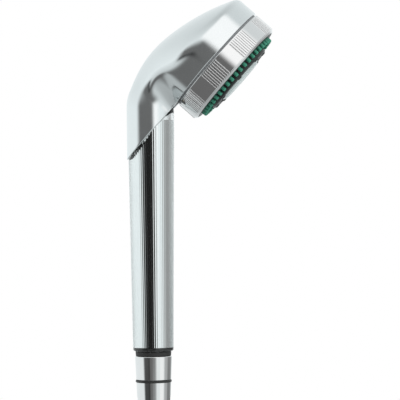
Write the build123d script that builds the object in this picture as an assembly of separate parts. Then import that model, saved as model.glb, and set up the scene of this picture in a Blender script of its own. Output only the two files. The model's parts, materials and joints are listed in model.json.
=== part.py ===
"""Handheld shower head: chromed hood, turning spray selector, clear handle over a fluted core,
and a conical swivel connector. Millimetres, +Z up along the handle, +X towards the spray side.
The origin is the end of the hose thread, on the handle axis."""
import math
import os

from build123d import *

# ---- the head: its own frame sits on the mouth plane, z along the spray ----
TILT = 41.9                       # spray direction below the horizontal, degrees
HEAD_X, HEAD_Z = 43.35, 237.7     # head axis where it crosses the mouth plane
HEAD_R = 38.9                     # hood drum
NECK_R = 15.85                    # hood where it follows the handle
WALL = 2.2                        # hood wall
PIVOT_S, PIVOT_H = 39.8, -3.0     # line the hood's fan of sections turns about
SINT, COST = math.sin(math.radians(TILT)), math.cos(math.radians(TILT))

# ---- selector ring and spray face, z from the mouth plane ----
RING_R, RING_BORE = 38.75, 36.4
RING_BACK, RING_FRONT, RING_LIP = 1.2, 14.8, 16.2
PATCHES, FLUTES, FLUTE_PITCH = 9, 9, 2.5
FLUTE_R, PATCH_START = 0.5, -77.2
PLATE_BACK, PLATE_FRONT = 14.0, 16.4
NOZZLES, NOZZLE_RING, NOZZLE_TIP = 48, 31.6, 19.4
SPIGOT_R, SPIGOT_TOP = 9.0, 9.0
STOP_FROM, STOP_TO = 7.4, 92.6    # ends of the arc the stop pin runs in, degrees
HUB_R = 11.0
RUN = 0.05                        # running clearance of every hinge

# ---- handle ----
SLEEVE_Z, SLEEVE_R0, SLEEVE_R1, SLEEVE_TOP = 47.1, 13.2, 15.15, 190.0
BORE_R0, BORE_R1 = 10.5, 12.1
CORE_Z, CORE_TOP, CORE_FLUTES, CORE_DEPTH = 49.5, 198.0, 40, 0.3
TUBE_R, TUBE_BORE = 6.0, 4.6

# ---- swivel connector ----
THREAD_R, THREAD_Z = 10.48, 10.0
COLLAR_TOP, SLIDE_TOP, NUT_Z, NUT_TOP = 26.8, 28.1, 28.4, 43.8
CONE_R0, CONE_SLOPE = 10.28, 0.04
SHAFT_R = 8.0

HEAD = Plane(origin=(HEAD_X, 0, HEAD_Z), x_dir=(-SINT, 0, -COST), z_dir=(COST, 0, -SINT))


def turned(*points):
    """Solid of revolution about Z from (radius, z) points."""
    return revolve(Plane.XZ * make_face(Polyline(*points, close=True)), Axis.Z)


def tube(r_out, r_in, z0, z1):
    """Round tube, or a disc when r_in is 0."""
    body = Pos(0, 0, (z0 + z1) / 2) * Cylinder(r_out, z1 - z0)
    return body - Pos(0, 0, (z0 + z1) / 2) * Cylinder(r_in, z1 - z0 + 1) if r_in else body


def around(count, radius, shape, start=0.0):
    """Copies of a shape standing on a circle."""
    return [Rot(0, 0, start + 360 * i / count) * Pos(radius, 0, 0) * shape for i in range(count)]


def cone_r(z):
    return CONE_R0 + CONE_SLOPE * z


def axis_in_head(z):
    """A point of the handle axis in the head's own x and z."""
    return (HEAD_X * SINT - (z - HEAD_Z) * COST, -HEAD_X * COST - (z - HEAD_Z) * SINT)


# ------------------------------------------------------------------ hood
def smooth_curve(knots):
    """Natural cubic through (x, y) knots."""
    x, y = [k[0] for k in knots], [k[1] for k in knots]
    n = len(x)
    h = [x[i + 1] - x[i] for i in range(n - 1)]
    diag, rhs = [1.0] * n, [0.0] * n
    for i in range(1, n - 1):
        lower = h[i - 1] if i > 1 else 0.0
        diag[i] = 2 * (h[i - 1] + h[i])
        rhs[i] = 6 * ((y[i + 1] - y[i]) / h[i] - (y[i] - y[i - 1]) / h[i - 1])
        if lower:
            diag[i] -= lower * lower / diag[i - 1]
            rhs[i] -= lower * rhs[i - 1] / diag[i - 1]
    m = [0.0] * n
    for i in range(n - 2, 0, -1):
        m[i] = (rhs[i] - (h[i] * m[i + 1] if i < n - 2 else 0.0)) / diag[i]

    def value(t):
        i = 0
        while i < n - 2 and t > x[i + 1]:
            i += 1
        a, b = t - x[i], x[i + 1] - t
        return ((m[i] * b**3 + m[i + 1] * a**3) / (6 * h[i]) + (y[i] / h[i] - m[i] * h[i] / 6) * b
                + (y[i + 1] / h[i] - m[i + 1] * h[i] / 6) * a)
    return value


# Along the mouth plane, from the head centre (0) towards the handle: crown height, height of the
# vertical wall, and half width of the dome.
CROWN = smooth_curve([(-45, 11.5), (-25, 22.3), (0, 31.2), (22, 34.7), (42, 32.3), (56, 27.8),
                      (70, 23.5), (90, 18), (130, 10)])
SIDE = smooth_curve([(-45, 3), (0, 4), (25, 4), (45, 3), (60, 0), (85, -12), (130, -30)])
HALF = smooth_curve([(-45, 32), (-30, 35), (-10, 42), (2, 42.5), (12, 40), (22, 34.8), (34, 26.5),
                     (48, 20.5), (60, 21), (85, 28), (130, 40)])


def soft_min(a, b, k):
    return min(a, b) - max(k - abs(a - b), 0) ** 2 / (4 * k)


def hood_field(s, v, h, inset):
    """Negative inside the hood: a drum and a neck blended in plan, under a soft dome."""
    x = HEAD_X - s * SINT - h * COST
    blend = 18.0 + 2.4 * inset
    plan = soft_min(math.hypot(s, v) - HEAD_R, math.hypot(x, v) - NECK_R, blend) + inset
    rise, half = CROWN(s) - SIDE(s), HALF(s)
    q = math.hypot(max(h - SIDE(s), 0) / rise, v / half)
    dome = (q - 1) * min(rise, half) + inset
    return -soft_min(-plan, -dome, 3.0)


def edge_of(inside, low, high):
    for _ in range(36):
        mid = (low + high) / 2
        low, high = (mid, high) if inside(mid) else (low, mid)
    return (low + high) / 2


def hood_section(angle, inset, count=89, base=2.0):
    """Closed wire of the hood in the plane that leans at an angle about the pivot line."""
    c, s = math.cos(math.radians(angle)), math.sin(math.radians(angle))

    def inside(rho, v):
        return hood_field(PIVOT_S - rho * c, v, PIVOT_H + rho * s, inset) < 0

    foot = edge_of(lambda v: inside(base, v), 0.0, 30.0)
    top = edge_of(lambda r: inside(r, 0.0), 20.0, 100.0)
    middle = (base + top) / 2
    end = math.atan2(foot, base - middle)
    points = []
    for i in range(count):
        phi = end * (2 * i / (count - 1) - 1)
        ca, sa = math.cos(phi), math.sin(phi)
        limit = min((base - middle) / ca, 100.0) if ca < -1e-6 else 100.0
        reach = edge_of(lambda r: inside(middle + r * ca, r * sa), 0.5, limit)
        rho = middle + reach * ca
        points.append(Vector(PIVOT_S - rho * c, reach * sa, -PIVOT_H - rho * s))
    arch = Edge.make_spline(points, parameters=[i / (count - 1) for i in range(count)])
    return Wire([arch, Edge.make_line(points[-1], points[0])])


def hood_body(inset):
    fan = [-10.0]                 # close together where the shoulder turns, wider elsewhere
    while fan[-1] < 190:
        past = fan[-1] - 12
        fan.append(fan[-1] + (min(2.5, 1 - 0.15 * past) if past < 0 else min(7, 1 + 0.12 * past)))
    return Solid.make_loft([hood_section(a, inset) for a in fan])


def head_shell():
    behind = Pos(20, 0, -40) * Box(200, 120, 80)
    return (hood_body(0.0) & behind) - hood_body(WALL)


# ------------------------------------------------------------------ water path inside the hood
SOCKET_Z = -16.1                  # inlet socket axis, behind the mouth plane
LAND_R = 37.5                     # land the selector faces


def engine_base():
    body = turned((0, -3.0), (36.2, -3.0), (36.2, 0.02), (LAND_R, 0.02), (LAND_R, 1.2),
                  (SPIGOT_R, 1.2), (SPIGOT_R, SPIGOT_TOP), (0, SPIGOT_TOP))
    body += Pos(39.0, 0, -0.95) * Box(10, 15, 1.3)
    axis_x, axis_z = axis_in_head(HEAD_Z)
    handle = Plane(origin=(axis_x, 0, axis_z), z_dir=(-COST, 0, -SINT)).location * Cylinder(15.6, 200)
    body -= handle
    body -= tube(1.6, 0, -1.0, SPIGOT_TOP + 1)
    for hole in around(3, 17.0, tube(2.6, 0, -4, 2), 30):
        body -= hole
    for hole in around(4, 27.0, tube(1.1, 0, -3.5, 0.2), 45):
        body -= hole
    return body + Pos(0, 33.0, 0) * tube(1.0, 0, 1.0, 3.3)


def waterway_back():
    socket = Plane(origin=(11.5, 0, SOCKET_Z), z_dir=(1, 0, 0)).location * Cylinder(8.2, 31)
    riser = Pos(4, 0, -12.6) * Cylinder(7.5, 7.0)
    body = tube(29.6, 0, -5.6, -3.6) + tube(23.5, 0, -10.0, -5.6) + socket + riser
    body -= tube(21.4, 0, -8.0, -3.0)
    body -= Plane(origin=(13.5, 0, SOCKET_Z), z_dir=(1, 0, 0)).location * Cylinder(4.6, 28)
    body -= Plane(origin=(21.5, 0, SOCKET_Z), z_dir=(1, 0, 0)).location * Cylinder(6.05, 14)
    body -= Plane(origin=(18.0, 0, SOCKET_Z), z_dir=(1, 0, 0)).location * Cylinder(7.0, 2.4)
    body -= Pos(4, 0, -11.5) * Cylinder(4.5, 9.2)
    for hole in around(4, 27.0, tube(1.5, 0, -6, -3), 45):
        body -= hole
    return body


def waterway_screws():
    screw = tube(2.6, 0, -7.4, -5.6) + tube(1.1, 0, -5.6, -0.4)
    screw -= Pos(0, 0, -7.1) * Box(3.4, 0.6, 0.8) + Pos(0, 0, -7.1) * Box(0.6, 3.4, 0.8)
    return Compound(children=around(4, 27.0, screw, 45))


def water_elbow():
    start, corner = axis_in_head(196.0), axis_in_head(HEAD_Z - (HEAD_X * COST + SOCKET_Z) / SINT)
    path = FilletPolyline((start[0], 0, start[1]), (corner[0], 0, corner[1]), (15.2, 0, SOCKET_Z),
                          radius=20)
    at_start = Plane(origin=path @ 0, z_dir=path % 0)
    return sweep(at_start * Circle(TUBE_R), path) - sweep(at_start * Circle(TUBE_BORE), path)


def elbow_o_ring():
    ring = turned((TUBE_R, -0.9), (6.9, -0.9), (6.9, 0.9), (TUBE_R, 0.9))
    return Plane(origin=(18.0, 0, SOCKET_Z), z_dir=(1, 0, 0)).location * ring


def elbow_coupling():
    return tube(7.3, TUBE_R, 191.0, 200.0)


# ------------------------------------------------------------------ turning selector
def selector_ring():
    body = turned((RING_BORE, RING_BACK), (RING_R - 0.4, RING_BACK), (RING_R, RING_BACK + 0.4),
                  (RING_R, RING_FRONT - 0.35), (RING_R - 0.35, RING_FRONT), (37.95, RING_FRONT),
                  (37.95, 15.1), (37.1, RING_LIP), (RING_BORE, RING_LIP))
    back = RING_BACK + 1.1
    cutter = Pos(0, 0, (back + 16) / 2) * Cylinder(FLUTE_R, 16 - back) + Pos(0, 0, back) * Sphere(FLUTE_R)
    cutters = []
    for patch in range(PATCHES):
        for i in range(FLUTES):
            angle = PATCH_START + 360 / PATCHES * patch + FLUTE_PITCH * (i - (FLUTES - 1) / 2)
            cutters.append(Rot(0, 0, angle) * Pos(RING_R + 0.08, 0, 0) * cutter)
    return body.cut(*cutters)


def face_carrier():
    body = turned((SPIGOT_R + RUN, 1.7), (RING_BORE, 1.7), (RING_BORE, 12.0), (34.8, 12.0), (34.8, 3.7),
                  (HUB_R, 3.7), (HUB_R, 8.6), (SPIGOT_R + RUN, 8.6))
    body += tube(27.4, 25.9, 3.5, 12.6)
    for hole in around(6, 22.0, tube(1.8, 0, 0, 5), 10):
        body -= hole
    for boss in around(6, 27.9, tube(1.5, 0, 3.5, 13.9), 15):
        body += boss
    for hole in around(6, 27.9, tube(0.85, 0, 1.0, 14.5) + tube(1.6, 0, 1.0, 3.4), 15):
        body -= hole
    corners = [(60 * math.cos(math.radians(a)), 60 * math.sin(math.radians(a)))
               for a in (STOP_FROM, 35, 65, STOP_TO)]
    sector = extrude(make_face(Polyline((0, 0), *corners, close=True)), 6)
    return body - (tube(34.4, 31.6, 1.0, 4.5) & sector)


def carrier_seal():
    return tube(36.3, 34.9, 12.1, 13.9)


def face_plate():
    body = turned((25.6, PLATE_BACK), (RING_BORE, PLATE_BACK), (RING_BORE, 15.9), (35.8, PLATE_FRONT),
                  (26.4, PLATE_FRONT), (25.6, 15.6))
    for hole in around(NOZZLES, NOZZLE_RING, tube(1.42, 0, 13, 18)):
        body -= hole
    for hole in around(6, 27.9, tube(0.8, 0, 13, 15.4), 15):
        body -= hole
    return body


def nozzle_mat():
    sheet = tube(34.6, 29.5, 12.9, PLATE_BACK)
    nozzle = turned((0.45, 13.0), (1.38, 13.0), (1.34, 16.4), (1.26, 18.7), (0.9, NOZZLE_TIP),
                    (0.45, NOZZLE_TIP))
    bore = tube(0.45, 0, 12, 14)
    for stud in around(NOZZLES, NOZZLE_RING, nozzle):
        sheet += stud
    for hole in around(NOZZLES, NOZZLE_RING, bore):
        sheet -= hole
    return sheet


def massage_ring():
    body = turned((18.4, 13.0), (25.5, 13.0), (25.5, 19.3), (25.1, 20.3), (24.2, 20.8), (20.6, 20.8),
                  (19.3, 19.8), (19.3, 16.0), (18.4, 16.0))
    for knob in around(8, 22.4, turned((0, 20.4), (1.8, 20.4), (1.6, 21.1), (1.1, 21.4), (0, 21.4))):
        body += knob
    for hole in around(8, 22.4, tube(0.7, 0, 12, 22)):
        body -= hole
    return body


def centre_cap():
    return turned((0, 15.0), (16.2, 15.0), (16.2, 13.0), (18.2, 13.0), (18.2, 16.1), (17.0, 16.1),
                  (17.0, 20.6), (16.4, 21.3), (14.6, 22.1), (0, 22.4))


def turbine_cover():
    body = turned((12.0, 11.2), (25.9, 11.2), (25.9, 13.0), (12.0, 13.0))
    for slot in around(6, 19.0, Box(8, 1.6, 6)):
        body -= Pos(0, 0, 12) * slot
    return body


def face_screws():
    screw = tube(1.5, 0, 2.0, 3.4) + tube(0.8, 0, 3.4, 15.2)
    screw -= Pos(0, 0, 2.2) * (Box(2.2, 0.5, 0.9) + Box(0.5, 2.2, 0.9))
    return Compound(children=around(6, 27.9, screw, 15))


def turbine_wheel():
    body = tube(12.6, HUB_R + RUN, 4.3, 8.1)
    for blade in around(10, 18.3, Pos(0, 0, 6.2) * Rot(28, 0, 0) * Box(12.0, 0.9, 3.6)):
        body += blade
    return body


def centre_washer():
    return tube(10.7, 2.1, SPIGOT_TOP, SPIGOT_TOP + 1.0)


def centre_screw():
    head = turned((0, 10.0), (3.6, 10.0), (3.6, 11.2), (2.4, 12.2), (0, 12.2))
    recess = Pos(0, 0, 12.0) * (Box(3.6, 0.7, 1.2) + Box(0.7, 3.6, 1.2))
    return head - recess + tube(1.6, 0, 0.0, 10.0)


# ------------------------------------------------------------------ handle
def radius_at(z, r0, r1):
    return r0 + (r1 - r0) * (z - SLEEVE_Z) / (SLEEVE_TOP - SLEEVE_Z)


def handle_sleeve():
    top = 206.0
    body = turned((radius_at(SLEEVE_Z, BORE_R0, BORE_R1), SLEEVE_Z), (SLEEVE_R0 - 1.4, SLEEVE_Z),
                  (SLEEVE_R0 - 0.5, SLEEVE_Z + 0.35), (SLEEVE_R0, SLEEVE_Z + 1.3),
                  (SLEEVE_R1, SLEEVE_TOP), (SLEEVE_R1, top), (BORE_R1, top), (BORE_R1, SLEEVE_TOP))
    below = HEAD.location * (Pos(60, 0, 100.12) * Box(300, 100, 200))
    return body & below


def fluted_section(z, radius):
    """Chrome core section: shallow flutes all round."""
    points = []
    for i in range(CORE_FLUTES * 2):
        a = math.pi * i / CORE_FLUTES
        r = radius if i % 2 == 0 else radius - CORE_DEPTH
        points.append((r * math.cos(a), r * math.sin(a)))
    edges = []
    for i in range(0, CORE_FLUTES * 2, 2):
        edges.append(ThreePointArc(points[i], points[i + 1], points[(i + 2) % len(points)]))
    return Pos(0, 0, z) * make_face(edges)


def fluted_core():
    body = loft([fluted_section(CORE_Z, BORE_R0 - 0.08), fluted_section(CORE_TOP, BORE_R1 - 0.08)],
                ruled=True)
    body -= tube(TUBE_R + 0.3, 0, 40, 210)
    body -= tube(7.55, 0, 40, 62.2)
    return body - tube(7.6, 0, 188.0, 210)


def neck_plug():
    plug = tube(13.25, 12.15, 160, 197.5)
    above = HEAD.location * (Pos(60, 0, -100.3) * Box(300, 100, 200))
    return plug & above


def water_tube():
    return tube(TUBE_R, TUBE_BORE, 62.5, 195.7)


def end_ring():
    return turned((10.35, 43.9), (11.3, 43.9), (11.6, 44.2), (11.75, 46.4), (11.4, 46.9), (10.35, 46.9),
                  (10.35, 49.35), (7.6, 49.35), (7.6, 46.9), (9.45, 46.9), (9.45, 45.05), (10.35, 45.05))


def core_o_rings():
    ring = turned((6.85, -0.8), (7.5, -0.8), (7.5, 0.8), (6.85, 0.8))
    return Compound(children=[Pos(0, 0, z) * ring for z in (52.5, 58.0)])


# ------------------------------------------------------------------ inlet and swivel
def inlet_nipple():
    body = turned((5.0, 36.4), (9.4, 36.4), (9.4, NUT_TOP), (10.3, 43.85), (10.3, 45.0), (9.4, 45.0),
                  (9.4, 46.85), (7.5, 46.85), (7.5, 62.0), (5.0, 62.0))
    body -= tube(7.0, 0, 36.0, 39.4)
    for z in (52.5, 58.0):
        body -= tube(9, 6.85, z - 0.8, z + 0.8)
    body -= tube(6.2, 0, 43.0, 56.0)
    return body


def check_valve_body():
    shell = turned((3.2, 43.1), (6.2, 43.1), (6.2, 55.9), (4.6, 55.9), (4.6, 55.0), (5.3, 55.0), (5.3, 44.6),
                   (3.2, 44.6))
    guide = tube(1.5, 1.05, 52.0, 55.9) + tube(5.0, 1.4, 55.0, 55.9)
    for hole in around(6, 3.0, tube(0.9, 0, 54, 57)):
        guide -= hole
    return shell + guide


def check_poppet():
    return turned((0, 44.65), (3.9, 44.65), (4.4, 45.6), (4.4, 46.4), (1.0, 46.4), (1.0, 53.4), (0, 53.4))


def check_spring():
    turns = Helix(pitch=1.55, height=7.2, radius=2.6)
    wire = Plane(origin=turns @ 0, z_dir=turns % 0) * Circle(0.3)
    return Pos(0, 0, 47.0) * sweep(wire, turns, is_frenet=True)


def sieve():
    body = tube(6.95, 5.6, 36.5, 37.3) + tube(5.7, 0, 36.9, 37.2)
    for radius, count in ((1.6, 6), (3.1, 12), (4.6, 18)):
        for hole in around(count, radius, tube(0.42, 0, 36, 38)):
            body -= hole
    return body


def flow_limiter():
    body = turned((1.9, 37.5), (6.9, 37.5), (6.9, 39.3), (1.9, 39.3))
    for hole in around(6, 4.2, tube(0.6, 0, 37, 40)):
        body -= hole
    return body


def limiter_o_ring():
    return Pos(0, 0, 38.4) * Torus(1.3, 0.5)


def cone_nut():
    top = cone_r(NUT_TOP)
    return turned((10.0, NUT_Z), (cone_r(NUT_Z) - 0.2, NUT_Z), (cone_r(NUT_Z), NUT_Z + 0.2),
                  (top, NUT_TOP - 0.45), (top - 0.45, NUT_TOP), (9.4, NUT_TOP), (9.4, 36.4), (9.65, 36.2),
                  (9.65, 34.0), (10.0, 34.0))


def swivel_bush():
    return tube(10.0, SHAFT_R + RUN, 28.5, 33.9)


def slide_ring():
    return turned((SHAFT_R, COLLAR_TOP), (11.5, COLLAR_TOP), (11.8, COLLAR_TOP + 0.25),
                  (11.8, SLIDE_TOP - 0.25), (11.5, SLIDE_TOP), (SHAFT_R, SLIDE_TOP))


def swivel_collar():
    top = cone_r(COLLAR_TOP)
    body = turned((8.6, THREAD_Z), (cone_r(THREAD_Z) - 0.5, THREAD_Z), (cone_r(10.5), 10.5),
                  (top, COLLAR_TOP - 0.2), (top - 0.2, COLLAR_TOP), (8.6, COLLAR_TOP))
    for side in (1, -1):
        body -= Pos(side * 11, 0, 15.2) * Rot(0, 90, 0) * Cylinder(3.0, 6)
    return body


def swivel_spindle():
    body = turned((6.0, 0.5), (6.5, 0), (THREAD_R, 0), (THREAD_R, 9.0), (10.1, 9.2),
                  (10.1, THREAD_Z), (8.6, THREAD_Z), (8.6, COLLAR_TOP), (SHAFT_R, COLLAR_TOP),
                  (SHAFT_R, 35.8), (6.0, 35.8))
    body -= tube(9, 6.9, 30.0, 32.0)
    return body - tube(9, 7.2, 34.5, 35.3)


def spindle_o_ring():
    return turned((6.9, 30.1), (7.7, 30.1), (SHAFT_R - 0.02, 30.5), (SHAFT_R - 0.02, 31.5), (7.7, 31.9),
                  (6.9, 31.9))


def snap_ring():
    ring = tube(9.0, 7.2, 34.55, 35.25)
    return ring - Pos(8, 0, 35) * Box(5, 2.0, 3)


def gasket():
    return tube(25.4, 23.6, -3.6, -3.0)


def port_seals():
    return Compound(children=around(3, 17.0, tube(3.4, 2.6, 1.2, 1.35), 30))


IN_HEAD = [head_shell, engine_base, waterway_back, waterway_screws, water_elbow, elbow_o_ring,
           selector_ring, face_carrier, carrier_seal, face_plate, nozzle_mat, massage_ring, centre_cap,
           turbine_cover, face_screws, turbine_wheel, centre_washer, centre_screw, gasket, port_seals]
IN_HANDLE = [elbow_coupling, handle_sleeve, fluted_core, neck_plug, water_tube, end_ring, core_o_rings,
             inlet_nipple, check_valve_body, check_poppet, check_spring, sieve, flow_limiter,
             limiter_o_ring, cone_nut, swivel_bush, slide_ring, swivel_collar, swivel_spindle,
             spindle_o_ring, snap_ring]

os.makedirs("parts", exist_ok=True)
for make in IN_HEAD:
    export_step(HEAD.location * make(), f"parts/{make.__name__}.step")
for make in IN_HANDLE:
    export_step(make(), f"parts/{make.__name__}.step")
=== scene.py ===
# %% [markdown]
# # A chromed hand shower, dressed on its CAD frame
# The imported model already holds every piece at its real size and place, and every joint. Blender's job is
# the look. The pieces that reflect or refract are built again as even meshes, because chrome shows every
# uneven facet. The others keep their CAD mesh and only get a finish.
#
# We load the frame first. Nothing made here may grow out of it.

# %% The imported model
import json
import math

import bmesh
import bpy
import numpy as np
from mathutils import Matrix, Vector

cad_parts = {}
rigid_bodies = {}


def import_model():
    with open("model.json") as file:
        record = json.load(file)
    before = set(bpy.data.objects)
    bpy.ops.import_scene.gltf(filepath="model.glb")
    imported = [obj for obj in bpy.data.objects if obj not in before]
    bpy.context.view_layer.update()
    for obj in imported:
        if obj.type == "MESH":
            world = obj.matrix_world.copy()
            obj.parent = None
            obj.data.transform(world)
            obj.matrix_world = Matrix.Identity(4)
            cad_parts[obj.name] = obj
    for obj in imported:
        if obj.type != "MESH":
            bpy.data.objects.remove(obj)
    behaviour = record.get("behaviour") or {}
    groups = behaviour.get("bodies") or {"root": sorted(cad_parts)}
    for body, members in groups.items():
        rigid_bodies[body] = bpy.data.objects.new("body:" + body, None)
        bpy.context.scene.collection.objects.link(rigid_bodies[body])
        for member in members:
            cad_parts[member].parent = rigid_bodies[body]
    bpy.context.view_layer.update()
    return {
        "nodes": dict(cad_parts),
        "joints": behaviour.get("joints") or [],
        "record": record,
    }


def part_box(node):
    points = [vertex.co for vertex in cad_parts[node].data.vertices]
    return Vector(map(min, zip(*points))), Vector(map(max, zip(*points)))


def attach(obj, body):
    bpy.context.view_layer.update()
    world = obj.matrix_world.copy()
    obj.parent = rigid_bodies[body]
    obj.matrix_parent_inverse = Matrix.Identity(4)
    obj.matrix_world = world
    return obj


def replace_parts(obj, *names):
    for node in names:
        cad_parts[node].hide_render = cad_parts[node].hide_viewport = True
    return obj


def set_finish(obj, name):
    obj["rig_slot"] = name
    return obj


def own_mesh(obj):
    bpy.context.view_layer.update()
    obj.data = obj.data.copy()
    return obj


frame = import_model()
MM = 0.001

# %% [markdown]
# ## Two frames to work in
# The handle stands on Z, but the head is tilted. The axis that the spray selector turns about is the
# head's own axis, so we read it from the joint. A head frame with x towards the handle, y across and z
# along the spray lets us describe hood and ring as if they stood upright.

# %% The head's own frame
turn = next(j for j in frame["joints"] if j["name"] == "selector_turn")
SPRAY = Vector(turn["axis"]).normalized()
HEAD_O = Vector(turn["pos_m"])
ACROSS = Vector((0, 1, 0))
TO_HANDLE = ACROSS.cross(SPRAY)
HEAD = Matrix.Translation(HEAD_O) @ Matrix((TO_HANDLE, ACROSS, SPRAY)).transposed().to_4x4()
UPRIGHT = Matrix.Identity(4)
print("head centre, mm:", [round(v / MM, 2) for v in HEAD_O], "spray:", [round(v, 3) for v in SPRAY])

# %% [markdown]
# ## Helpers for meshes made in rows
# Most pieces here are a stack of rows of points with the same number of points in each, like the hoops of
# a basket. One helper turns such an array into a mesh, merges points that fall together, and marks edges
# that turn sharply so that smooth shading stops there.

# %% Rows of points to a mesh object
def basket(name, rows, place=UPRIGHT, hoop=True, ends_meet=False, sharp=38.0):
    rows = np.asarray(rows, float)
    count, width = rows.shape[:2]
    faces = []
    for i in range(count if ends_meet else count - 1):
        for j in range(width if hoop else width - 1):
            k, m = (i + 1) % count, (j + 1) % width
            faces.append((i * width + j, i * width + m, k * width + m, k * width + j))
    mesh = bpy.data.meshes.new(name)
    mesh.from_pydata([tuple(p) for p in rows.reshape(-1, 3) * MM], [], faces)
    mesh.transform(place)
    return tidy(name, mesh, sharp)


def tidy(name, mesh, sharp):
    work = bmesh.new()
    work.from_mesh(mesh)
    bmesh.ops.remove_doubles(work, verts=work.verts, dist=2e-6)
    bmesh.ops.dissolve_degenerate(work, edges=work.edges, dist=1e-6)
    bmesh.ops.recalc_face_normals(work, faces=work.faces)
    for face in work.faces:
        face.smooth = True
    for edge in work.edges:
        edge.smooth = edge.is_manifold and edge.calc_face_angle(0.0) < math.radians(sharp)
    open_edges = sum(not edge.is_manifold for edge in work.edges)
    work.to_mesh(mesh)
    work.free()
    obj = bpy.data.objects.new(name, mesh)
    bpy.context.scene.collection.objects.link(obj)
    flat = obj.modifiers.new("even shading", "WEIGHTED_NORMAL")
    flat.keep_sharp = True
    print(f"{name}: {len(mesh.polygons)} faces, {open_edges} open edges")
    return obj

# %% [markdown]
# Turned pieces start from a profile of (radius, height) corners. Real edges are never knife sharp, so each
# corner can carry a fillet radius, and the fillet catches the light as a thin bright line.

# %% A profile with its corners rounded
def rounded(corners, steps=4):
    line = []
    count = len(corners)
    for i, (r, z, fillet) in enumerate(corners):
        here = np.array([r, z])
        back = np.array(corners[i - 1][:2]) - here
        ahead = np.array(corners[(i + 1) % count][:2]) - here
        if fillet == 0:
            line.append(here)
            continue
        back, ahead = back / np.hypot(*back), ahead / np.hypot(*ahead)
        half = math.acos(np.clip(back @ ahead, -1, 1)) / 2
        reach = fillet / math.tan(half)
        middle = here + (back + ahead) / np.hypot(*(back + ahead)) * fillet / math.sin(half)
        start, stop = here + back * reach - middle, here + ahead * reach - middle
        for t in np.linspace(0, 1, steps + 1):
            arm = start * (1 - t) + stop * t
            line.append(middle + arm / np.hypot(*arm) * fillet)
    return np.array(line)


def turned(name, corners, place=UPRIGHT, count=128, ring=True):
    profile = rounded(corners)
    angle = np.linspace(0, 2 * math.pi, count, endpoint=False)
    r, z = profile[:, :1], profile[:, 1:]
    rows = np.stack([r * np.cos(angle), r * np.sin(angle), z + 0 * angle], 2)
    return basket(name, rows, place, ends_meet=ring)

# %% [markdown]
# ## The hood
# Head and neck are one moulding: a drum and a neck that flow into each other in plan, under a soft dome.
# We could push a subdivided box about until it looked right, but the CAD has an exact recipe: a field
# that is negative inside. We take the same recipe, with a tighter waist and a crisper shoulder, and read
# the skin from it along planes that fan out from the waist like the leaves of a book. That puts even quads
# all over, and the first and last leaf end just above the rim.

# %% Curves that shape the hood, in mm from the head centre towards the handle
def smooth_curve(knots):
    x, y = np.array(knots, float).T
    n, h = len(x), np.diff(x)
    system, right = np.eye(n), np.zeros(n)
    for i in range(1, n - 1):
        system[i, i - 1:i + 2] = h[i - 1], 2 * (h[i - 1] + h[i]), h[i]
        right[i] = 6 * ((y[i + 1] - y[i]) / h[i] - (y[i] - y[i - 1]) / h[i - 1])
    bend = np.linalg.solve(system, right)

    def value(t):
        i = np.clip(np.searchsorted(x, t) - 1, 0, n - 2)
        a, b = t - x[i], x[i + 1] - t
        return ((bend[i] * b**3 + bend[i + 1] * a**3) / (6 * h[i])
                + (y[i] / h[i] - bend[i] * h[i] / 6) * b + (y[i + 1] / h[i] - bend[i + 1] * h[i] / 6) * a)
    return value


CROWN = smooth_curve([(-45, 11.5), (-25, 22.3), (0, 31.2), (22, 34.7), (42, 32.3), (56, 27.8),
                      (70, 23.5), (90, 18), (130, 10)])
SIDE = smooth_curve([(-45, 3), (0, 4), (25, 4), (45, 3), (60, 0), (85, -12), (130, -30)])
HALF = smooth_curve([(-45, 32), (-30, 35), (-10, 42), (2, 42.5), (12, 40), (22, 34.8), (34, 26.5),
                     (48, 20.5), (60, 21), (85, 28), (130, 40)])
DRUM_R, NECK_R, WALL = 38.86, 15.85, 2.2
# How softly drum and neck flow together, and how much more per mm of inset.
WAIST_BLEND, BLEND_PER_INSET = 13.0, 2.4
# The shoulder is soft over the drum, where it has to stay inside the CAD box, and crisp over the waist.
SHOULDER_FROM, SHOULDER_TO, SHOULDER_SOFT = -10.0, 25.0, (3.0, 2.0)
print("crown over the head centre:", round(float(CROWN(0.0)), 1), "mm")

# %% The field: negative inside the hood
def soft_min(a, b, k):
    return np.minimum(a, b) - np.maximum(k - abs(a - b), 0) ** 2 / (4 * k)


def hood_field(s, v, h, inset):
    out, down = SPRAY.x, -SPRAY.z
    x = HEAD_O.x / MM - s * down - h * out
    blend = WAIST_BLEND + BLEND_PER_INSET * inset
    plan = soft_min(np.hypot(s, v) - DRUM_R, np.hypot(x, v) - NECK_R, blend) + inset
    rise, half = CROWN(s) - SIDE(s), HALF(s)
    q = np.hypot(np.maximum(h - SIDE(s), 0) / rise, v / half)
    dome = (q - 1) * np.minimum(rise, half) + inset
    shoulder = np.interp(s, (SHOULDER_FROM, SHOULDER_TO), SHOULDER_SOFT)
    return -soft_min(-plan, -dome, shoulder)


def edge_of(inside, low, high):
    low, high = low + 0 * high, high + 0 * low
    for _ in range(40):
        middle = (low + high) / 2
        keep = inside(middle)
        low, high = np.where(keep, middle, low), np.where(keep, high, middle)
    return (low + high) / 2

# %% Leaves of the fan, from the rim over the dome to the rim again
WAIST = 39.8


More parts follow.
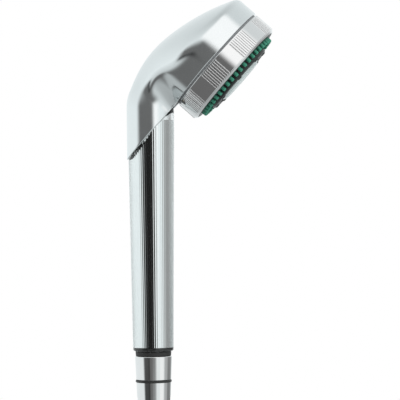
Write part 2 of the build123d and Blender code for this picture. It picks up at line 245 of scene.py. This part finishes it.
def hood_leaves(angles, inset, base_h, count):
    lean = np.radians(angles)[:, None]
    c, s = np.cos(lean), np.sin(lean)

    def inside(reach, v):
        return hood_field(WAIST - reach * c, v, base_h + reach * s, inset) < 0

    foot = edge_of(lambda v: inside(0 * v, v), 0.0, np.full_like(lean, 30.0))
    top = edge_of(lambda r: inside(r, 0 * r), 5.0, np.full_like(lean, 100.0))
    middle = top / 2
    phi = np.arctan2(foot, -middle) * np.linspace(-1, 1, count)[None, :]
    ca, sa = np.cos(phi), np.sin(phi)
    limit = np.where(ca < -1e-6, -middle / np.minimum(ca, -1e-6), 100.0)
    arm = edge_of(lambda r: inside(middle + r * ca, r * sa), 0.0, np.minimum(limit, 100.0))
    reach = middle + arm * ca
    return np.stack([WAIST - reach * c, arm * sa, -base_h - reach * s], 2)


RIM_ROUND = 0.45
ACROSS_COUNT = 200
outer_fan = np.concatenate([np.arange(0, 30, 0.6), np.linspace(30, 180, 121)])
outer = hood_leaves(outer_fan, 0.0, RIM_ROUND, ACROSS_COUNT)
inner = hood_leaves(np.linspace(0, 180, 61), WALL, RIM_ROUND, ACROSS_COUNT)
print("outer skin", outer.shape, "inner skin", inner.shape)

# %% [markdown]
# The two skins end in loops just above the rim. Between them we lay a few more loops, moved in along the
# loop's own normal and down to the rim plane, which gives the rim two small rounds and a flat.

# %% Rim loops between the outer and the inner skin
def loop_of(leaves):
    return np.concatenate([leaves[0], leaves[-1][-2:0:-1]])


def moved_in(loop, step, depth):
    along = np.roll(loop, -1, 0) - np.roll(loop, 1, 0)
    normal = np.stack([along[:, 1], -along[:, 0]], 1)
    normal /= np.hypot(normal[:, 0], normal[:, 1])[:, None]
    centre = loop[:, :2].mean(0)
    facing = np.sign(((loop[:, :2] - centre) * normal).sum(1).sum())
    flat = loop[:, :2] - facing * normal * step
    return np.column_stack([flat, np.full(len(loop), -depth)])


outer_loop, inner_loop = loop_of(outer), loop_of(inner)
quarter = [math.radians(a) for a in (30, 60, 90)]
rim = [outer_loop]
rim += [moved_in(outer_loop, RIM_ROUND * (1 - math.cos(a)), RIM_ROUND * (1 - math.sin(a))) for a in quarter]
rim += [moved_in(inner_loop, -RIM_ROUND * (1 - math.cos(a)), RIM_ROUND * (1 - math.sin(a)))
        for a in reversed(quarter)]
rim += [inner_loop]
print("rim loops:", len(rim), "of", len(outer_loop), "points")

# %% The hood as one closed mesh
def one_mesh(name, grids, place, sharp):
    points, faces = [], []
    for rows, hoop in grids:
        rows = np.asarray(rows)
        first, width = len(points), rows.shape[1]
        points += [tuple(p) for p in rows.reshape(-1, 3) * MM]
        for i in range(len(rows) - 1):
            for j in range(width if hoop else width - 1):
                m = (j + 1) % width
                faces.append([first + n for n in (i * width + j, i * width + m,
                                                  (i + 1) * width + m, (i + 1) * width + j)])
    mesh = bpy.data.meshes.new(name)
    mesh.from_pydata(points, [], faces)
    mesh.transform(place)
    return tidy(name, mesh, sharp)


hood = one_mesh("hood", [(outer, False), (rim, True), (inner, False)], HEAD, 50.0)
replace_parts(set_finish(hood, "hood_chrome"), "head_shell")
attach(hood, "grip")

# %% [markdown]
# ## The spray selector ring
# Nine patches of nine flutes give wet fingers a grip. Each flute is a groove with a ball end, cut by a
# round-nosed tool. A boolean with 81 cutters would work but leaves messy triangles, so we write the ring
# as rows and columns with columns bunched at the flutes, and let each point sink to the groove's depth.

# %% Where the flutes are
PATCHES, FLUTES, PITCH = 9, 9, 2.5
FIRST_PATCH = -77.2
RING_R, RING_BORE, RING_BACK, RING_FRONT, RING_LIP = 38.75, 36.4, 1.2, 14.8, 16.2
FLUTE_R, FLUTE_OUT, FLUTE_BACK = 0.5, 0.08, 1.4
HALF_FLUTE = math.degrees(math.asin(math.sqrt(FLUTE_R**2 - FLUTE_OUT**2) / RING_R))
ACROSS_FLUTE = (-1.06, -1.0, -0.92, -0.75, -0.5, -0.25, 0.0, 0.25, 0.5, 0.75, 0.92, 1.0, 1.06)


def ring_columns():
    columns = []
    for patch in range(PATCHES):
        middle = FIRST_PATCH + 360 / PATCHES * patch
        for i in range(FLUTES):
            groove = middle + PITCH * (i - (FLUTES - 1) / 2)
            columns += [(groove + HALF_FLUTE * t, HALF_FLUTE * t) for t in ACROSS_FLUTE]
        edge = PITCH * (FLUTES - 1) / 2 + HALF_FLUTE * ACROSS_FLUTE[-1]
        plain = np.linspace(middle + edge, middle + 360 / PATCHES - edge, 14)[1:-1]
        columns += [(a, 90.0) for a in plain]
    return np.radians(np.array(columns)).T


angles, offsets = ring_columns()
print("ring columns:", len(angles))

# %% The ring with its flutes sunk in
def ring_rows():
    back = RING_BACK + FLUTE_BACK
    wall = [(RING_R, back + dz, 0) for dz in (-0.6, -0.49, -0.44, -0.36, -0.25, -0.12, 0.0, 4.0, 8.0)]
    profile = rounded([(RING_BORE, RING_BACK, 0), (RING_R, RING_BACK, 0.45)] + wall
                      + [(RING_R, RING_FRONT, 0.3), (37.95, RING_FRONT, 0.08), (37.95, 15.1, 0.1),
                         (37.1, RING_LIP, 0.2), (RING_BORE, RING_LIP, 0.1)])
    r, z = profile[:, :1], profile[:, 1:]
    ball = FLUTE_R**2 - np.maximum(back - z, 0) ** 2 - (RING_R * np.sin(offsets)) ** 2
    groove = np.where(ball > 0, RING_R + FLUTE_OUT - np.sqrt(np.maximum(ball, 0)), 99.0)
    r = np.minimum(r, groove)
    return np.stack([r * np.cos(angles), r * np.sin(angles), z + 0 * angles], 2)


ring = basket("selector_grip", ring_rows(), HEAD, ends_meet=True, sharp=28.0)
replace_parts(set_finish(ring, "ring_chrome"), "selector_ring")
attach(ring, "selector")

# %% [markdown]
# ## The clear handle
# The handle is a clear acrylic sleeve over a chromed core with shallow flutes. The sleeve swells gently
# towards the head and is cut off along the hood's rim plane. A bore with air in it would turn the outer
# thirds of the handle into mirrors of what lies behind. So we treat the core as lying against the acrylic:
# the bore wall runs just inside the core's skin, and the lens shows the core over the full width. The two
# meshes overlap there on purpose.

# %% The sleeve, cut at the rim plane
low, high = (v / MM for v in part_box("handle_sleeve"))
SLEEVE_Z, SLEEVE_R0, SLEEVE_R1, SHOULDER = low.z, 13.2, 15.15, 190.0
BORE_R0, BORE_R1, CUT_GAP, BORE_INSIDE = 10.5, 12.1, 0.12, 0.35


def swell(z, r0, r1):
    return r0 + (r1 - r0) * np.minimum((z - SLEEVE_Z) / (SHOULDER - SLEEVE_Z), 1.0)


def cut_height(r, angle):
    x = r * np.cos(angle) - HEAD_O.x / MM
    return HEAD_O.z / MM + (x * SPRAY.x - CUT_GAP) / -SPRAY.z


def sleeve_rows():
    angle = np.linspace(0, 2 * math.pi, 144, endpoint=False)
    bore = BORE_R0 - BORE_INSIDE
    foot = rounded([(bore, SLEEVE_Z, 0.15), (SLEEVE_R0, SLEEVE_Z, 1.1), (SLEEVE_R0, SLEEVE_Z + 4, 0),
                    (bore, SLEEVE_Z + 4, 0)], 6)[:-2]
    rows = [np.stack([r * np.cos(angle), r * np.sin(angle), z + 0 * angle], 1) for r, z in foot]

    def wall(t, r0, r1, end_r, drop):
        top = cut_height(end_r, angle) - drop
        z = SLEEVE_Z + 2 + (top - SLEEVE_Z - 2) * t
        r = swell(z, r0, r1)
        return np.stack([r * np.cos(angle), r * np.sin(angle), z], 1)

    rise = np.linspace(0, 1, 41)
    rows += [wall(t, SLEEVE_R0, SLEEVE_R1, SLEEVE_R1, 0.15) for t in rise]
    rows += [wall(1, SLEEVE_R0 - 0.15, SLEEVE_R1 - 0.15, SLEEVE_R1, 0.0)]
    rows += [wall(t, BORE_R0 - BORE_INSIDE, BORE_R1 - BORE_INSIDE, BORE_R1, 0.0) for t in rise[::-1]]
    return rows


sleeve = basket("clear_sleeve", sleeve_rows(), ends_meet=True, sharp=40.0)
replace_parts(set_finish(sleeve, "clear_acrylic"), "handle_sleeve")
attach(sleeve, "grip")

# %% [markdown]
# The core's flutes are what the eye sees in the handle: dark and light lines that run its whole length.
# Each flute is a shallow arc, so a column angle is enough to give its radius.

# %% The fluted core
low, high = (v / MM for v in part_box("fluted_core"))
CORE_Z, CORE_TOP = low.z, high.z
CORE_FLUTES, CORE_DEPTH, CORE_GAP = 60, 0.046, 0.08


def core_rows():
    steps = 8
    angle = np.linspace(0, 2 * math.pi, CORE_FLUTES * steps, endpoint=False)
    share = (np.arange(CORE_FLUTES * steps) % steps) / steps
    dip = CORE_DEPTH * (1 - (2 * share - 1) ** 2)
    rows = []
    for z in np.linspace(CORE_Z, CORE_TOP, 30):
        r = swell(z, BORE_R0, BORE_R1) - CORE_GAP - dip
        rows.append(np.stack([r * np.cos(angle), r * np.sin(angle), z + 0 * angle], 1))
    for z in (CORE_TOP, CORE_Z):
        bore = 7.6
        rows.append(np.stack([bore * np.cos(angle), bore * np.sin(angle), z + 0 * angle], 1))
    return rows


core = basket("handle_core", core_rows(), ends_meet=True, sharp=20.0)
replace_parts(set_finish(core, "core_chrome"), "fluted_core")
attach(core, "grip")

# %% [markdown]
# ## Turned pieces of the connector
# These come off a lathe, so we turn them too: a profile with small fillets, swept round.

# %% Cone nut, slide ring and the ring that closes the sleeve
def cone_r(z):
    return 10.28 + 0.04 * z


NUT_Z, NUT_TOP = (v.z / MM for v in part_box("cone_nut"))
nut_bore = [(9.4, NUT_TOP, 0.1), (9.4, 36.4, 0), (9.65, 36.2, 0), (9.65, 34.0, 0), (10.0, 34.0, 0)]
nut_skin = [(10.0, NUT_Z, 0.1), (cone_r(NUT_Z), NUT_Z, 0.25), (cone_r(NUT_TOP), NUT_TOP, 0.5)]
nut = turned("cone_nut_turned", nut_skin + nut_bore, count=160)
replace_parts(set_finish(nut, "brass_chrome"), "cone_nut")
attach(nut, "grip")

RING_Z, RING_TOP = (v.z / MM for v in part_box("slide_ring"))
slide = turned("slide_ring_turned", [(8.0, RING_Z, 0.1), (11.8, RING_Z, 0.25), (11.8, RING_TOP, 0.25),
                                     (8.0, RING_TOP, 0.1)])
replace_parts(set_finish(slide, "black_pom"), "slide_ring")
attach(slide, "swivel")

closer = turned("sleeve_end_ring", [(10.35, 43.9, 0.05), (11.55, 43.9, 0.4), (11.75, 46.9, 0.5),
                                    (10.35, 46.9, 0.1), (10.35, 49.35, 0.2), (7.6, 49.35, 0.1),
                                    (7.6, 46.9, 0.05), (9.45, 46.9, 0.05), (9.45, 45.05, 0.05),
                                    (10.35, 45.05, 0.05)])
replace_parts(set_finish(closer, "black_rubber"), "end_ring")
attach(closer, "grip")

# %% [markdown]
# ## The return spring
# The poppet lifts 2 mm into its spring, and on the real valve the spring shortens by as much while its upper
# end stays put. Here the spring is the CAD mesh, copied as it is.

# %% The spring, copied as its own mesh
low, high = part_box("check_spring")
spring = bpy.data.objects.new("return_spring", frame["nodes"]["check_spring"].data.copy())
bpy.context.scene.collection.objects.link(spring)
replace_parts(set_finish(spring, "steel"), "check_spring")
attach(spring, "grip")
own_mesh(spring)

# %% The centre cap of the face
cap_skirt = [(0, 15.0, 0), (16.2, 15.0, 0.1), (16.2, 13.0, 0), (18.2, 13.0, 0.1), (18.2, 16.1, 0.3)]
cap_crown = [(17.0, 16.1, 0.3), (17.0, 20.9, 0.5), (15.0, 22.1, 1.5), (0, 22.4, 0)]
cap = turned("face_cap", cap_skirt + cap_crown, HEAD, ring=False)
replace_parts(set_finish(cap, "cap_grey"), "centre_cap")
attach(cap, "selector")

# %% [markdown]
# ## Shared effects for the finishes
# Three effects turn up on many pieces: a fine grain, dried water marks, and painted shade that gathers in
# corners.
# Each is a node group with named inputs, built once and placed in each material with its own values.

# %% A small kit for node trees
def add(tree, kind, **values):
    node = tree.nodes.new(kind)
    for name, value in values.items():
        if hasattr(node, name):
            setattr(node, name, value)
        else:
            node.inputs[name.replace("_", " ")].default_value = value
    return node


def new_group(name, inputs, outputs):
    tree = bpy.data.node_groups.new(name, "ShaderNodeTree")
    for label, default in inputs:
        socket = tree.interface.new_socket(label, in_out="INPUT", socket_type="NodeSocketFloat")
        socket.default_value = default
    for label in outputs:
        tree.interface.new_socket(label, in_out="OUTPUT", socket_type="NodeSocketFloat")
    return tree, tree.nodes.new("NodeGroupInput"), tree.nodes.new("NodeGroupOutput")


def place_group(tree, group, **values):
    node = tree.nodes.new("ShaderNodeGroup")
    node.node_tree = group
    for label, value in values.items():
        node.inputs[label].default_value = value
    return node

# %% Grain: fine noise, the skin of moulded and plated surfaces
GRAIN, g_in, g_out = new_group("grain", [("Scale", 2000.0), ("Stretch", 1.0)], ["Height"])
where = add(GRAIN, "ShaderNodeTexCoord")
stretch = add(GRAIN, "ShaderNodeCombineXYZ", X=1.0, Y=1.0)
GRAIN.links.new(g_in.outputs["Stretch"], stretch.inputs["Z"])
scaled = add(GRAIN, "ShaderNodeVectorMath", operation="MULTIPLY")
GRAIN.links.new(where.outputs["Object"], scaled.inputs[0])
GRAIN.links.new(stretch.outputs[0], scaled.inputs[1])
noise = add(GRAIN, "ShaderNodeTexNoise", Detail=3.0)
GRAIN.links.new(scaled.outputs[0], noise.inputs["Vector"])
GRAIN.links.new(g_in.outputs["Scale"], noise.inputs["Scale"])
GRAIN.links.new(noise.outputs["Fac"], g_out.inputs["Height"])

# %% Water marks: broad film with small dried spots in it
MARKS, m_in, m_out = new_group("water_marks", [("Film", 60.0), ("Spots", 420.0)], ["Mask"])
where = add(MARKS, "ShaderNodeTexCoord")
film = add(MARKS, "ShaderNodeTexNoise", Detail=4.0, Roughness=0.6)
spots = add(MARKS, "ShaderNodeTexVoronoi", Randomness=1.0)
MARKS.links.new(where.outputs["Object"], film.inputs["Vector"])
MARKS.links.new(where.outputs["Object"], spots.inputs["Vector"])
MARKS.links.new(m_in.outputs["Film"], film.inputs["Scale"])
MARKS.links.new(m_in.outputs["Spots"], spots.inputs["Scale"])
spot = add(MARKS, "ShaderNodeMapRange", From_Min=0.25, From_Max=0.1)
MARKS.links.new(spots.outputs["Distance"], spot.inputs["Value"])
both = add(MARKS, "ShaderNodeMath", operation="MULTIPLY_ADD")
both.inputs[1].default_value = 0.35
MARKS.links.new(spot.outputs["Result"], both.inputs[0])
MARKS.links.new(film.outputs["Fac"], both.inputs[2])
MARKS.links.new(both.outputs[0], m_out.inputs["Mask"])

# %% Corner shade: painted shade, darker where the surface is hemmed in
PAINTED_CORNER_SHADE, c_in, c_out = new_group("corner_painted_shade", [("Distance", 0.003)], ["Mask"])
shut_in = add(PAINTED_CORNER_SHADE, "ShaderNodeAmbientOcclusion", samples=4)
PAINTED_CORNER_SHADE.links.new(c_in.outputs["Distance"], shut_in.inputs["Distance"])
turned_over = add(PAINTED_CORNER_SHADE, "ShaderNodeMath", operation="SUBTRACT")
turned_over.inputs[0].default_value = 1.0
PAINTED_CORNER_SHADE.links.new(shut_in.outputs["AO"], turned_over.inputs[1])
PAINTED_CORNER_SHADE.links.new(turned_over.outputs[0], c_out.inputs["Mask"])

# %% [markdown]
# ## The finishes
# Every finish is the Principled shader with its plain values set on its own sockets. What changes over the
# surface comes from the groups: the roughness follows the water marks, the bump follows the grain, and on
# moulded pieces the colour darkens in corners as painted shade.

# %% One maker for a finish
def finish_of(name, **values):
    material = bpy.data.materials.new(name)
    material.use_nodes = True
    tree = material.node_tree
    shader = tree.nodes["Principled BSDF"]
    for label, value in values.items():
        shader.inputs[label.replace("_", " ")].default_value = value
    return material, tree, shader


def vary_roughness(tree, shader, low, high, film=60.0, spots=420.0):
    marks = place_group(tree, MARKS, Film=film, Spots=spots)
    span = add(tree, "ShaderNodeMapRange", From_Min=0.35, From_Max=0.75, To_Min=low, To_Max=high)
    tree.links.new(marks.outputs["Mask"], span.inputs["Value"])
    tree.links.new(span.outputs["Result"], shader.inputs["Roughness"])
    return marks


def add_bump(tree, shader, scale, strength, distance, stretch=1.0):
    grain = place_group(tree, GRAIN, Scale=scale, Stretch=stretch)
    bump = add(tree, "ShaderNodeBump", Strength=strength, Distance=distance)
    tree.links.new(grain.outputs["Height"], bump.inputs["Height"])
    tree.links.new(bump.outputs["Normal"], shader.inputs["Normal"])
    return grain


def vary_colour(tree, shader, value, dark, light):
    mix = add(tree, "ShaderNodeMix", data_type="RGBA")
    mix.inputs["A"].default_value = (*dark, 1)
    mix.inputs["B"].default_value = (*light, 1)
    tree.links.new(value, mix.inputs["Factor"])
    tree.links.new(mix.outputs["Result"], shader.inputs["Base Color"])

# %% Plated, moulded, elastomer and turned finishes
def plated(name, dark, light, smooth, film, ripple=0.02):
    material, tree, shader = finish_of(name, Metallic=1.0)
    marks = vary_roughness(tree, shader, smooth, smooth + film)
    vary_colour(tree, shader, marks.outputs["Mask"], dark, light)
    add_bump(tree, shader, 260.0, ripple, 0.0004)
    return material


def moulded(name, dark, light, smooth, grain=0.12):
    material, tree, shader = finish_of(name)
    vary_roughness(tree, shader, smooth, smooth + 0.12)
    add_bump(tree, shader, 5000.0, grain, 0.0001)
    # Painted shade: an ambient occlusion mask moves the colour from light to dark in corners and recesses.
    corners = place_group(tree, PAINTED_CORNER_SHADE, Distance=0.003)
    vary_colour(tree, shader, corners.outputs["Mask"], light, dark)
    return material


def machined(name, dark, light, smooth):
    material, tree, shader = finish_of(name, Metallic=1.0)
    vary_roughness(tree, shader, smooth, smooth + 0.1, film=200.0)
    grain = add_bump(tree, shader, 900.0, 0.08, 0.0001, stretch=12.0)
    vary_colour(tree, shader, grain.outputs["Height"], dark, light)
    return material


def clear(name):
    material, tree, shader = finish_of(name, IOR=1.49, Transmission_Weight=1.0)
    vary_roughness(tree, shader, 0.0, 0.02)
    marks = place_group(tree, MARKS, Film=25.0, Spots=300.0)
    vary_colour(tree, shader, marks.outputs["Mask"], (0.97, 0.99, 0.99), (0.99, 1.0, 1.0))
    return material


FINISHES = {
    "hood_chrome": plated("hood_chrome_plate", (0.80, 0.835, 0.84), (0.86, 0.89, 0.895), 0.10, 0.05),
    "ring_chrome": plated("ring_chrome_plate", (0.82, 0.83, 0.83), (0.86, 0.86, 0.86), 0.08, 0.03, 0.006),
    "core_chrome": plated("core_chrome_plate", (0.84, 0.87, 0.87), (0.90, 0.92, 0.92), 0.03, 0.02, 0.003),
    "brass_chrome": plated("brass_chrome_plate", (0.84, 0.85, 0.85), (0.90, 0.90, 0.90), 0.03, 0.03),
    "clear_acrylic": clear("clear_acrylic_wall"),
    "black_abs": moulded("black_face_plastic", (0.002, 0.003, 0.003), (0.012, 0.017, 0.016), 0.32),
    "grey_abs": moulded("grey_engine_plastic", (0.12, 0.125, 0.13), (0.33, 0.34, 0.35), 0.45),
    "cap_grey": moulded("grey_cap_plastic", (0.30, 0.37, 0.36), (0.52, 0.60, 0.59), 0.18, 0.04),
    "nozzle_green": moulded("green_nozzle_elastomer", (0.004, 0.045, 0.03), (0.035, 0.27, 0.17), 0.38, 0.06),
    "black_rubber": moulded("black_rubber_seal", (0.004, 0.004, 0.004), (0.02, 0.02, 0.02), 0.5),
    "black_pom": moulded("black_bearing_plastic", (0.006, 0.006, 0.006), (0.022, 0.022, 0.022), 0.35),
    "white_pom": moulded("white_inner_plastic", (0.45, 0.45, 0.43), (0.78, 0.78, 0.75), 0.4),
    "brass": machined("turned_brass", (0.55, 0.38, 0.16), (0.80, 0.62, 0.32), 0.22),
    "steel": machined("bright_steel", (0.42, 0.43, 0.44), (0.62, 0.63, 0.64), 0.2),
}
print("finishes:", len(FINISHES))

# %% Every piece gets the finish of its slot
def dress(obj, slot_name):
    obj.data.materials.clear()
    obj.data.materials.append(FINISHES[slot_name])


for part in frame["record"]["subparts"]:
    node = frame["nodes"].get(part["node"])
    if node is not None:
        for place in node.material_slots:
            place.material = FINISHES[part["material_slot"]]
for piece in [o for o in bpy.data.objects if o.get("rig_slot")]:
    dress(piece, piece["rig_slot"])

# %% [markdown]
# ## Studio
# Chrome has no colour of its own: it shows the room. So the room is a plain light tent with a handful of
# cards hung in it: dark openings towards the camera and under the head, one softbox over the head, and a
# few strips low down that give the connector an edge. The tent is painted on the world by direction. The
# camera itself sees plain white behind.

# %% The light tent, as a world
world = bpy.data.worlds.new("light_tent")
bpy.context.scene.world = world
world.use_nodes = True
tent = world.node_tree
tent.nodes.clear()
look = add(tent, "ShaderNodeTexCoord")
axes = add(tent, "ShaderNodeSeparateXYZ")
tent.links.new(look.outputs["Generated"], axes.inputs[0])


def calc(operation, a, b=None):
    node = add(tent, "ShaderNodeMath", operation=operation)
    for i, value in enumerate((a, b)):
        if value is None:
            continue
        if isinstance(value, (int, float)):
            node.inputs[i].default_value = value
        else:
            tent.links.new(value, node.inputs[i])
    return node.outputs[0]


forward = calc("MULTIPLY", axes.outputs["Y"], -1.0)
SIDEWAYS = calc("DEGREES", calc("ARCTAN2", axes.outputs["X"], forward))
UPWARDS = calc("DEGREES", calc("ARCSINE", axes.outputs["Z"]))


def along(direction):
    node = add(tent, "ShaderNodeVectorMath", operation="DOT_PRODUCT")
    node.inputs[1].default_value = direction
    tent.links.new(look.outputs["Generated"], node.inputs[0])
    return node.outputs["Value"]


# The head's own angles: round its axis from the camera side upwards, and towards its spray.
ROUND_HEAD = calc("DEGREES", calc("ARCTAN2", along(-TO_HANDLE), forward))
OFF_HEAD = calc("DEGREES", calc("ARCSINE", along(SPRAY)))


def ramp_up(angle, start, stop):
    node = add(tent, "ShaderNodeMapRange", interpolation_type="SMOOTHSTEP", From_Min=start, From_Max=stop)
    tent.links.new(angle, node.inputs["Value"])
    return node.outputs["Result"]


def window(side, up, soft, angles=(SIDEWAYS, UPWARDS)):
    mask = None
    for angle, (start, stop) in zip(angles, (side, up)):
        rise = ramp_up(angle, start - soft, start + soft)
        fall = ramp_up(angle, stop + soft, stop - soft)
        both = calc("MULTIPLY", rise, fall)
        mask = both if mask is None else calc("MULTIPLY", mask, both)
    return mask

# %% Painted bands: brightness against direction, as a ramp
def shade(value, tint=(1.0, 1.0, 1.0)):
    return (*(value * t for t in tint), 1.0)


def painted(angle, low, high, stops, tint=(1.0, 1.0, 1.0)):
    span = add(tent, "ShaderNodeMapRange", From_Min=low, From_Max=high)
    tent.links.new(angle, span.inputs["Value"])
    ramp = add(tent, "ShaderNodeValToRGB")
    tent.links.new(span.outputs["Result"], ramp.inputs["Fac"])
    while len(ramp.color_ramp.elements) < len(stops):
        ramp.color_ramp.elements.new(0.5)
    for element, (degrees, value) in zip(ramp.color_ramp.elements, stops):
        element.position = (degrees - low) / (high - low)
        element.color = shade(value, tint)
    return ramp.outputs["Color"]


def laid_over(below, above, mask):
    mix = add(tent, "ShaderNodeMix", data_type="RGBA")
    for socket, value in (("Factor", mask), ("A", below), ("B", above)):
        if isinstance(value, tuple):
            mix.inputs[socket].default_value = value
        else:
            tent.links.new(value, mix.inputs[socket])
    return mix.outputs["Result"]


COOL = (0.95, 1.0, 1.01)
FLOOR_TO_ZENITH = (-90.0, 90.0)
WALLS = [(-90, 0.4), (-45, 0.5), (0, 0.95), (90, 0.6)]
ROOM, HEAD_WAY = (SIDEWAYS, UPWARDS), (ROUND_HEAD, OFF_HEAD)
# What hangs in the tent: the pair of angles it is placed by, its two spans, soft edge and brightness.
CARDS = {
    "opening, level": (ROOM, (-60, 20), (-15, 15), 12.0, 0.15),
    "grey curtain, right": (ROOM, (75, 150), (-15, 15), 15.0, 0.35),
    "opening, under the head": (HEAD_WAY, (-90, 10), (-15, 5), 6.0, 0.15),
    "softbox, over the head": (HEAD_WAY, (12, 80), (-30, 25), 8.0, 1.1),
    "black flag, low left": (ROOM, (-60, -20), (-13, -7), 5.0, 0.01),
    "strip light, low right": (ROOM, (45, 75), (-13, -7), 5.0, 1.0),
    "black flag, low behind": (ROOM, (105, 170), (-13, -7), 8.0, 0.01),
}
sky = painted(UPWARDS, *FLOOR_TO_ZENITH, WALLS, COOL)
for angles, side, up, soft, level in CARDS.values():
    sky = laid_over(sky, shade(level), window(side, up, soft, angles))

# %% [markdown]
# Seen through the clear sleeve the opening has to read as black, or the handle looks like frosted glass. So
# rays that have passed through the acrylic meet a darker card there.

# %% What shows through the clear sleeve
rays = add(tent, "ShaderNodeLightPath")
through = calc("GREATER_THAN", rays.outputs["Transmission Depth"], 0.5)
dark_middle = window((-45, 20), (-15, 15), 8.0)
sky = laid_over(sky, shade(0.01), calc("MULTIPLY", dark_middle, through))

# %% The camera sees a white backdrop
seen = add(tent, "ShaderNodeMix", data_type="RGBA")
seen.inputs["B"].default_value = shade(1.0)
tent.links.new(rays.outputs["Is Camera Ray"], seen.inputs["Factor"])
tent.links.new(sky, seen.inputs["A"])
glow = add(tent, "ShaderNodeBackground", Strength=1.0)
tent.links.new(seen.outputs["Result"], glow.inputs["Color"])
out = add(tent, "ShaderNodeOutputWorld")
tent.links.new(glow.outputs[0], out.inputs["Surface"])
bpy.context.scene.view_settings.view_transform = "Standard"

# %% [markdown]
# The pale floor lies well below the shower and fades into the white around it, so no edge shows. It is a
# stage piece, not part of the object, and chrome doesn't reflect it: the tent has its own floor.

# %% Floor and one soft lamp
def studio_floor():
    reach, height = 800.0, -60.0
    angle = np.linspace(0, 2 * math.pi, 96, endpoint=False)
    rows = [np.stack([r * np.cos(angle), r * np.sin(angle), height + 0 * angle], 1)
            for r in np.linspace(0, reach, 17)]
    floor = basket("studio_floor", rows)
    material, tree, shader = finish_of("pale_floor", Roughness=0.9)
    where = add(tree, "ShaderNodeTexCoord")
    length = add(tree, "ShaderNodeVectorMath", operation="LENGTH")
    tree.links.new(where.outputs["Object"], length.inputs[0])
    away = add(tree, "ShaderNodeMapRange", interpolation_type="SMOOTHSTEP", From_Min=0.35, From_Max=0.75)
    tree.links.new(length.outputs["Value"], away.inputs["Value"])
    grain = place_group(tree, GRAIN, Scale=40.0)
    vary_colour(tree, shader, grain.outputs["Height"], (0.80, 0.80, 0.80), (0.86, 0.86, 0.86))
    shader.inputs["Emission Color"].default_value = (1, 1, 1, 1)
    haze = add(tree, "ShaderNodeEmission", Strength=1.0)
    blend = add(tree, "ShaderNodeMixShader")
    tree.links.new(away.outputs["Result"], blend.inputs[0])
    tree.links.new(shader.outputs[0], blend.inputs[1])
    tree.links.new(haze.outputs[0], blend.inputs[2])
    tree.links.new(blend.outputs[0], tree.nodes["Material Output"].inputs["Surface"])
    floor.data.materials.append(material)
    floor.visible_glossy = False
    floor.visible_transmission = False


studio_floor()
lamp = bpy.data.objects.new("soft_lamp", bpy.data.lights.new("soft_lamp", "AREA"))
lamp.data.energy, lamp.data.size = 6.0, 0.8
lamp.location = (0.7, -0.9, 0.9)
lamp.rotation_euler = (Vector((0, 0, 0.15)) - lamp.location).to_track_quat("-Z", "Y").to_euler()
lamp.visible_glossy = False
bpy.context.scene.collection.objects.link(lamp)

# %% [markdown]
# ## Camera
# A long lens, level with the middle of the shower and two degrees round towards the spray side, so that a
# sliver of the face shows. It is rolled by a little over half a degree.

# %% The camera
TARGET = Vector((31.6, 0, 145.5)) * MM
DISTANCE, ROUND, ROLL = 1.48, math.radians(2.0), math.radians(0.62)
VIEW_WIDTH = 0.2618
camera = bpy.data.objects.new("camera", bpy.data.cameras.new("camera"))
bpy.context.scene.collection.objects.link(camera)
camera.data.lens = camera.data.sensor_width * DISTANCE / VIEW_WIDTH
camera.location = TARGET + DISTANCE * Vector((math.sin(ROUND), -math.cos(ROUND), 0))
aim = (TARGET - camera.location).to_track_quat("-Z", "Y").to_matrix().to_4x4()
camera.matrix_world = Matrix.Translation(camera.location) @ aim @ Matrix.Rotation(-ROLL, 4, "Z")
bpy.context.scene.camera = camera
print("lens, mm:", round(camera.data.lens, 1))
